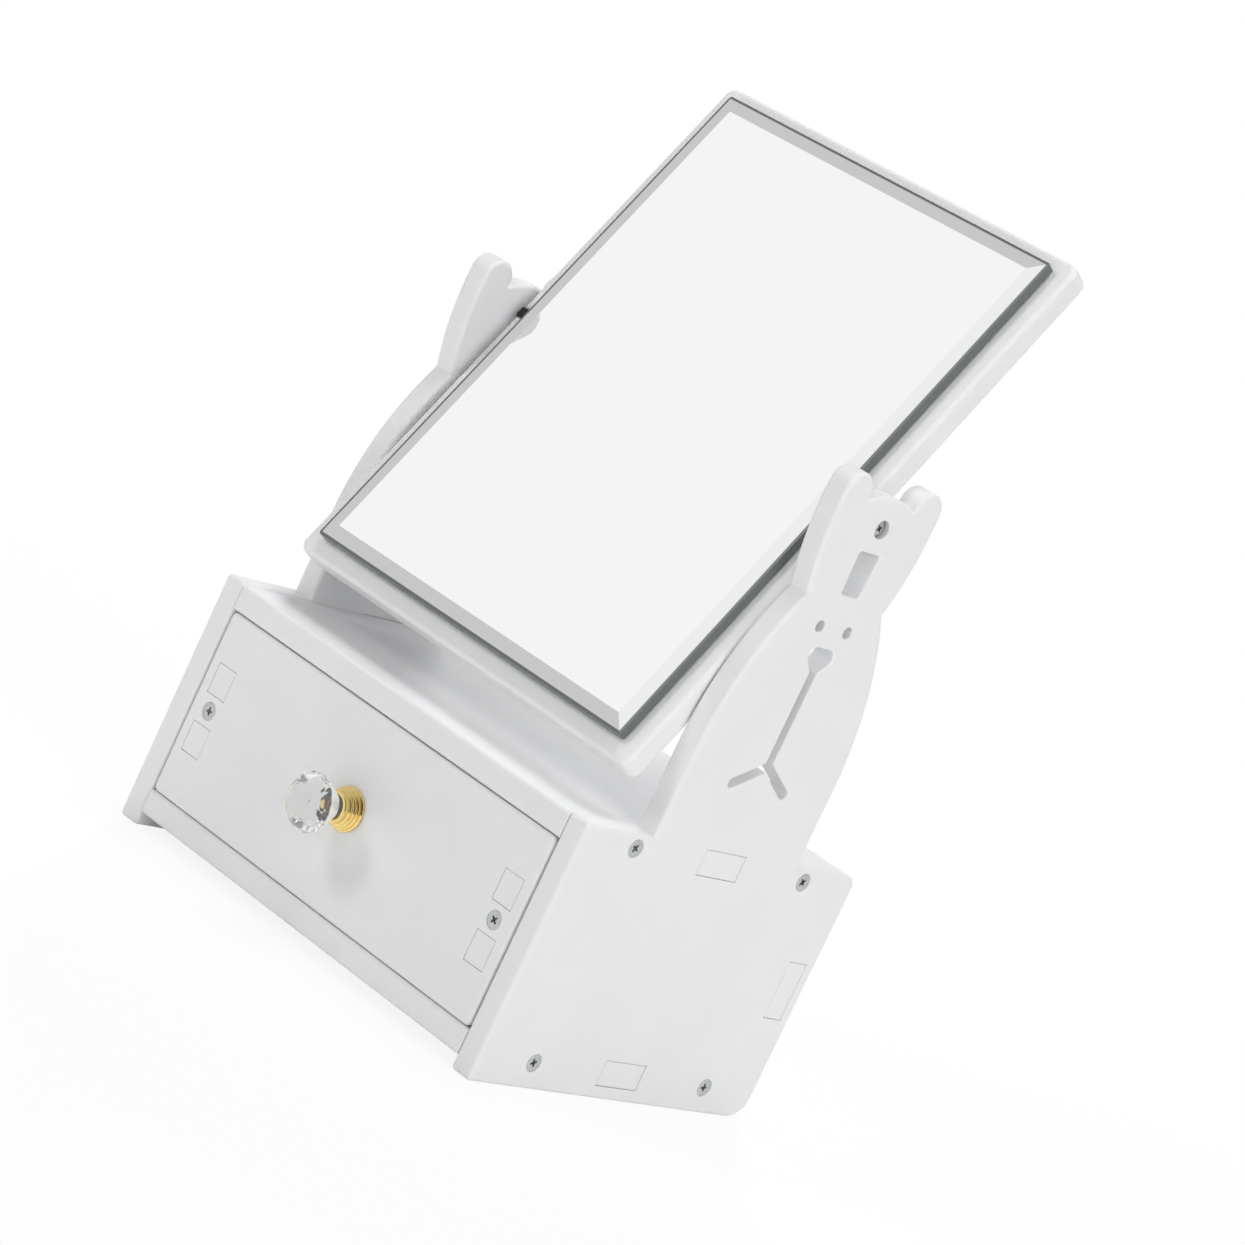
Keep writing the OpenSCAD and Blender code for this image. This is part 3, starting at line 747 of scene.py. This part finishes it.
KNOB_LOW, KNOB_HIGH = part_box("knob_base")
KNOB_FOOT = Vector(((KNOB_LOW.x + KNOB_HIGH.x) / 2, KNOB_HIGH.y, (KNOB_LOW.z + KNOB_HIGH.z) / 2))
FORWARD = Vector((0, -1, 0)).to_track_quat("Z", "Y").to_matrix().to_4x4()
KNOB_STAND = Matrix.Translation(KNOB_FOOT) @ FORWARD
FOOT_R = 8.2 * MM
FOOT_T = 1.5 * MM
BASE_L = 7.5 * MM
SEAT_DEPTH = 2 * MM
SEAT_R = 4.55 * MM
COLLAR_R = 6.0 * MM
RINGS = 3
RING_L = 4 / 3 * MM
FACET_ARRIS = 0.12 * MM
FACET_BEND = math.radians(12)
SHORTEST_ARRIS = 1.5 * MM
KNOB_SIDES = 96


def add_knob_base():
    """The gilt base: a bead-edged foot, rings that shrink to the front, a collar and its seat."""
    half = FOOT_T / 2
    profile = [(0, 7 * MM), (0.05 * MM, FOOT_R - half)] + arc(half, FOOT_R - half, half, -70, 70, 10)
    bead = RING_L / 2
    step = (FOOT_R - COLLAR_R) / (RINGS + 1)
    for ring in range(RINGS):
        radius = FOOT_R - (ring + 1) * step - bead
        profile += arc(FOOT_T + (2 * ring + 1) * bead, radius, bead, -62, 62, 8)
    edge = 0.6 * MM
    profile += [(FOOT_T + 2 * RINGS * bead + 0.05 * MM, COLLAR_R - 0.1 * MM)]
    profile += arc(BASE_L - edge, COLLAR_R - edge, edge, 0, 80, 6)
    profile += [(BASE_L, SEAT_R + 0.1 * MM), (BASE_L - 0.1 * MM, SEAT_R), (BASE_L - SEAT_DEPTH, SEAT_R)]
    profile += [(BASE_L - SEAT_DEPTH, 0.5 * MM)]
    piece = turned("knob_base_piece", profile, KNOB_SIDES)
    piece.data.transform(KNOB_STAND)
    smooth_between(piece)
    dress(piece, gold_plate(KNOB_FOOT.x, KNOB_FOOT.z), "knob_base")


def add_crystal():
    """The cut crystal with its facets' edges just taken off."""
    piece = merged_copy("knob_crystal")
    shape = bmesh.new()
    shape.from_mesh(piece.data)
    weight = shape.edges.layers.float.new("bevel_weight_edge")
    for edge in shape.edges:
        long_enough = edge.calc_length() > SHORTEST_ARRIS
        if edge.is_convex and edge.calc_face_angle(0) > FACET_BEND and long_enough:
            edge[weight] = 1.0
    shape.to_mesh(piece.data)
    shape.free()
    round_edges(piece, FACET_ARRIS, 1)
    pick(piece)
    bpy.ops.object.shade_flat()
    dress(piece, cut_crystal(), "knob_crystal")


add_knob_base()
add_crystal()


# Small pieces that keep the shape CAD gave them

def paint(node, material):
    """Gives the CAD node's own mesh a material."""
    for slot in NODES[node].material_slots:
        slot.material = material


BLACK = black_rubber()
for node in ("right_pivot_washer", "left_pivot_washer"):
    paint(node, BLACK)
paint("mirror_pads", foam_tape())
paint("knob_screw", ZINC)


# Studio

MIDDLE = Vector((0, 0, 0.12))
FLOOR_SIDE = 12
FLOOR_GLOW = 0.88
SHADOW_REACH = (0.25, 0.8)
LAMP_DISTANCE = 2.0
SCREEN_LENGTHWISE = (-0.730, 0.631, -0.261)
SCREEN_CROSSWISE = (0.202, 0.564, 0.800)
SCREEN_BACK = 0.115
SCREEN_HALF = 0.095
SCREEN_BORDER = 0.02
SCREEN_END = (0.20, 0.25)
SCREEN_TONE = 0.95
SCREEN_END_TONE = 0.89
TENT_TONE = 0.6
CAMERA_DARK = (0.45, 0.80)
CAMERA_TONE = 0.06
TENT_LIGHT = 0.13


def seen_rays(finish):
    """1 for the rays that show a surface to the eye, directly, by gloss or through glass, and 0 for light."""
    rays = finish.tree.nodes.new("ShaderNodeLightPath")
    seen = Value(finish, rays.outputs["Is Camera Ray"])
    for kind in ("Is Glossy Ray", "Is Transmission Ray"):
        seen = seen + Value(finish, rays.outputs[kind])
    return seen


def add_floor():
    """A white floor that keeps the object's shadow near it and runs out into pure white."""
    bpy.ops.object.select_all(action="DESELECT")
    bpy.ops.mesh.primitive_plane_add(size=FLOOR_SIDE, location=(0, 0, 0))
    floor = bpy.context.active_object
    floor.name = "floor"
    finish = Finish("floor")
    x, y, z = finish.parts(finish.place)
    apart = (x * x + y * y).root()
    share = apart.rise(*SHADOW_REACH) * (1 - FLOOR_GLOW) + FLOOR_GLOW
    matt = finish.make("ShaderNodeBsdfDiffuse", {}, {"Color": (0.9, 0.9, 0.9, 1)})
    glow = finish.make("ShaderNodeEmission", {}, {"Color": (1, 1, 1, 1), "Strength": 1.0})
    mixed = {0: seen_rays(finish) * share, 1: matt, 2: glow}
    finish.make_output(finish.make("ShaderNodeMixShader", {}, mixed))
    floor.data.materials.append(finish.material)


def add_softbox(name, direction, side, power):
    """A soft square light that shines at the object's middle from a direction."""
    data = bpy.data.lights.new(name, "AREA")
    data.size = side
    data.energy = power
    lamp = bpy.data.objects.new(name, data)
    bpy.context.scene.collection.objects.link(lamp)
    back = Vector(direction).normalized()
    lamp.location = MIDDLE + back * LAMP_DISTANCE
    lamp.rotation_euler = back.to_track_quat("Z", "Y").to_euler()
    lamp.visible_camera = False
    lamp.visible_glossy = False
    lamp.visible_transmission = False


class Surround(Finish):
    """The light from all round, whose nodes are made as a material's are."""

    def __init__(self, name):
        world = bpy.data.worlds.new(name)
        bpy.context.scene.world = world
        world.use_nodes = True
        self.tree = world.node_tree
        self.tree.nodes.clear()
        self.place = self.make("ShaderNodeTexCoord", {}, {}, "Generated")

    def glow(self, colour, strength):
        return self.make("ShaderNodeBackground", {}, {"Color": colour, "Strength": strength})


def add_surround():
    """Even soft light: white to the eye, and to gloss a grey tent with a white screen, dark at the camera."""
    finish = Surround("surround")
    along, across, at_camera = (
        finish.make("ShaderNodeVectorMath", {"operation": "DOT_PRODUCT"}, {0: finish.place, 1: axis}, 1)
        for axis in (SCREEN_LENGTHWISE, SCREEN_CROSSWISE, TOWARDS_CAMERA)
    )
    near = along.rise(-SCREEN_BACK, SCREEN_BORDER - SCREEN_BACK)
    on_screen = near * (1 - across.size().rise(SCREEN_HALF, SCREEN_HALF + SCREEN_BORDER))
    screen = finish.blend((SCREEN_TONE,) * 3, (SCREEN_END_TONE,) * 3, along.rise(*SCREEN_END))
    tent = finish.blend((TENT_TONE,) * 3, (CAMERA_TONE,) * 3, at_camera.rise(*CAMERA_DARK))
    tone = finish.blend(tent, screen, on_screen)
    rays = finish.tree.nodes.new("ShaderNodeLightPath")
    by_camera, by_gloss, by_glass = (
        Value(finish, rays.outputs["Is %s Ray" % kind]) for kind in ("Camera", "Glossy", "Transmission")
    )
    light = finish.glow((1, 1, 1, 1), TENT_LIGHT)
    gloss = finish.glow(tone, 1.0)
    white = finish.glow((1, 1, 1, 1), 1.0)
    cast = finish.make("ShaderNodeMixShader", {}, {0: by_gloss, 1: light, 2: gloss})
    shown = finish.make("ShaderNodeMixShader", {}, {0: by_camera + by_glass, 1: cast, 2: white})
    output = finish.tree.nodes.new("ShaderNodeOutputWorld")
    finish.tree.links.new(shown.socket, output.inputs["Surface"])


add_floor()
add_softbox("low_back_left", (-0.66, 0.75, 0.30), 0.3, 25)
add_softbox("front_left", (-0.40, -0.75, 0.55), 0.5, 9)
add_softbox("front", (0.35, -0.90, 0.25), 0.9, 5.5)
add_softbox("right", (0.93, -0.18, 0.33), 1.2, 17)
add_softbox("above", (0.05, 0.10, 1.0), 1.0, 21)
add_surround()

bpy.context.scene.view_settings.view_transform = "Standard"
